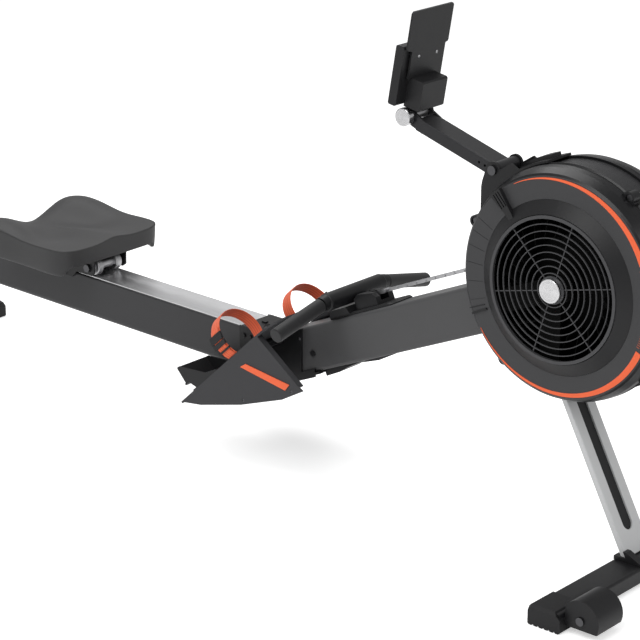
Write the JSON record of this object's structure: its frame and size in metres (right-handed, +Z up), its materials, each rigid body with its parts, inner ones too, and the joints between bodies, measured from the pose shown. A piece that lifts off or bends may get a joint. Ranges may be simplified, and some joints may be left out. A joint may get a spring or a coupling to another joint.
{
  "type": "rowing machine",
  "caption": "Folding air rowing machine: a caged fan on a leg, a sloping beam with chain handle, footboards with straps, a sliding seat on a rail, and a monitor on an arm.",
  "frame": {"origin": "on the floor, at the middle of the machine's length and width", "axes": "+X forward to the fan housing, +Y to the left of a rower who faces the fan, +Z up"},
  "size_m": [2.1281, 0.598, 0.9869],
  "materials": {
    "beam_paint": "satin",
    "rail_paint": "satin",
    "black_metal": "satin",
    "leg_silver": "satin",
    "track_steel": "brushed",
    "steel": "brushed",
    "chrome": "polished",
    "shell_plastic": "fine texture",
    "black_plastic": "matt",
    "band_mesh": "perforated",
    "grille_metal": "satin",
    "fan_metal": "matt",
    "arm_metal": "satin, dark anodised",
    "console_plastic": "fine texture",
    "screen": "glossy",
    "board_plastic": "fine texture",
    "orange": "satin",
    "webbing": "woven",
    "grip_foam": "matt foam",
    "seat_skin": "matt grained",
    "pad_rubber": "matt",
    "cord_elastic": "braided",
    "roller_plastic": "satin"
  },
  "bodies": {
    "frame": {"main_beam": "beam_paint", "frame_fork": "black_metal", "front_leg": "leg_silver", "leg_inlay": "black_plastic", "leg_bracket": "black_metal", "front_foot": "black_metal", "front_foot_caps": "pad_rubber", "wheel_fenders": "black_plastic", "shell_right": "shell_plastic", "shell_left": "shell_plastic", "screen_band": "band_mesh", "grille_right": "grille_metal", "grille_left": "grille_metal", "hub_caps": "steel", "accent_arcs": "orange", "flywheel_axle": "steel", "handle_cradle": "black_plastic", "beam_saddle": "black_metal", "hinge_pin": "steel", "footboard_right": "board_plastic", "footboard_left": "board_plastic", "foot_strap_right": "webbing", "foot_strap_left": "webbing", "strap_buckles": "black_plastic", "pod_stripes": "orange", "monitor_bracket": "black_metal", "frame_bolts": "steel", "drive_chain": "chrome", "bungee_cord": "cord_elastic"},
    "fan": {"fan_wheel": "fan_metal", "fan_bearings": "steel"},
    "sprocket": {"drive_sprocket": "steel"},
    "handle": {"handle_bar": "black_plastic", "handle_grips": "grip_foam", "chain_shackle": "chrome"},
    "return_block": {"return_block": "black_metal"},
    "return_pulley": {"return_pulley": "roller_plastic"},
    "damper": {"damper_ring": "black_plastic"},
    "transport_wheel_right": {"transport_wheel_right": "black_plastic"},
    "transport_wheel_left": {"transport_wheel_left": "black_plastic"},
    "lock_knob": {"lock_knob": "black_plastic"},
    "heel_cup_right": {"heel_cup_right": "black_plastic"},
    "heel_cup_left": {"heel_cup_left": "black_plastic"},
    "monitor_arm": {"monitor_arm": "arm_metal", "tilt_bolt": "chrome"},
    "console": {"console": "console_plastic", "console_screen": "screen"},
    "console_button": {"console_button": "orange"},
    "rail": {"rail": "rail_paint", "rail_track": "track_steel", "rail_end_cap": "black_plastic", "rail_coupler": "black_metal", "rear_leg": "black_metal", "rear_foot": "black_metal", "rear_foot_caps": "pad_rubber"},
    "seat": {"seat_carriage": "black_metal", "seat_axles": "steel", "seat_pad": "seat_skin"},
    "front_rollers": {"front_rollers": "roller_plastic"},
    "rear_rollers": {"rear_rollers": "roller_plastic"}
  },
  "joints": [
    {"name": "fan_spin", "type": "hinge", "parent": "frame", "child": "fan", "pos_m": [0.8065, 0, 0.54], "axis": [0, 1, 0], "continuous": true},
    {"name": "handle_pull", "type": "slide", "parent": "frame", "child": "handle", "axis": [-0.9659, 0, 0.2588], "range_m": [0, 0.84], "stiffness_N_per_m": 12, "springref_m": -0.4, "deforming": ["drive_chain", "bungee_cord"]},
    {"name": "sprocket_turn", "type": "hinge", "parent": "frame", "child": "sprocket", "pos_m": [0.8065, 0, 0.54], "axis": [0, -1, 0], "range_deg": [0, 727]},
    {"name": "return_block_slide", "type": "slide", "parent": "frame", "child": "return_block", "axis": [0.9184, 0, 0.3955], "range_m": [0, 0.42]},
    {"name": "return_pulley_spin", "type": "hinge", "parent": "return_block", "child": "return_pulley", "pos_m": [0.1656, 0, 0.25844], "axis": [0, 1, 0], "range_deg": [0, 1340]},
    {"name": "damper_turn", "type": "hinge", "parent": "frame", "child": "damper", "pos_m": [0.8065, 0, 0.54], "axis": [0, -1, 0], "range_deg": [0, 62]},
    {"name": "transport_wheel_right_spin", "type": "hinge", "parent": "frame", "child": "transport_wheel_right", "pos_m": [1.0255, -0.246, 0.031], "axis": [0, 1, 0], "continuous": true},
    {"name": "transport_wheel_left_spin", "type": "hinge", "parent": "frame", "child": "transport_wheel_left", "pos_m": [1.0255, 0.246, 0.031], "axis": [0, 1, 0], "continuous": true},
    {"name": "rail_fold", "type": "hinge", "parent": "frame", "child": "rail", "pos_m": [0.0845, 0, 0.283], "axis": [0, -1, 0], "range_deg": [-85, 0]},
    {"name": "lock_knob_turn", "type": "hinge", "parent": "frame", "child": "lock_knob", "pos_m": [0.0545, -0.055, 0.195], "axis": [0, -1, 0], "range_deg": [0, 720]},
    {"name": "seat_slide", "type": "slide", "parent": "rail", "child": "seat", "axis": [0.9998, 0, -0.0209], "range_m": [-0.33, 0.36]},
    {"name": "front_rollers_turn", "type": "hinge", "parent": "seat", "child": "front_rollers", "pos_m": [-0.43893, 0, 0.30206], "axis": [0, 1, 0], "range_deg": [-950, 1035]},
    {"name": "rear_rollers_turn", "type": "hinge", "parent": "seat", "child": "rear_rollers", "pos_m": [-0.63089, 0, 0.30608], "axis": [0, 1, 0], "range_deg": [-950, 1035]},
    {"name": "heel_cup_right_slide", "type": "slide", "parent": "frame", "child": "heel_cup_right", "axis": [0.7349, 0, 0.6782], "range_m": [0, 0.04]},
    {"name": "heel_cup_left_slide", "type": "slide", "parent": "frame", "child": "heel_cup_left", "axis": [0.7349, 0, 0.6782], "range_m": [0, 0.04]},
    {"name": "monitor_arm_lift", "type": "hinge", "parent": "frame", "child": "monitor_arm", "pos_m": [0.6265, 0, 0.716], "axis": [0, 1, 0], "range_deg": [-40, 30]},
    {"name": "console_tilt", "type": "hinge", "parent": "monitor_arm", "child": "console", "pos_m": [0.4192, 0, 0.7806], "axis": [0, -1, 0], "range_deg": [-20, 25]},
    {"name": "console_button_press", "type": "slide", "parent": "console", "child": "console_button", "axis": [0.9848, 0, -0.1736], "range_m": [0, 0.0015], "stiffness_N_per_m": 200, "springref_m": -0.001}
  ],
  "couplings": [
    {"joint": "sprocket_turn", "follows": "handle_pull", "rad_per_m": 15.083},
    {"joint": "return_block_slide", "follows": "handle_pull", "ratio": 0.5},
    {"joint": "return_pulley_spin", "follows": "handle_pull", "rad_per_m": 27.778},
    {"joint": "front_rollers_turn", "follows": "seat_slide", "rad_per_m": 50},
    {"joint": "rear_rollers_turn", "follows": "seat_slide", "rad_per_m": 50}
  ]
}
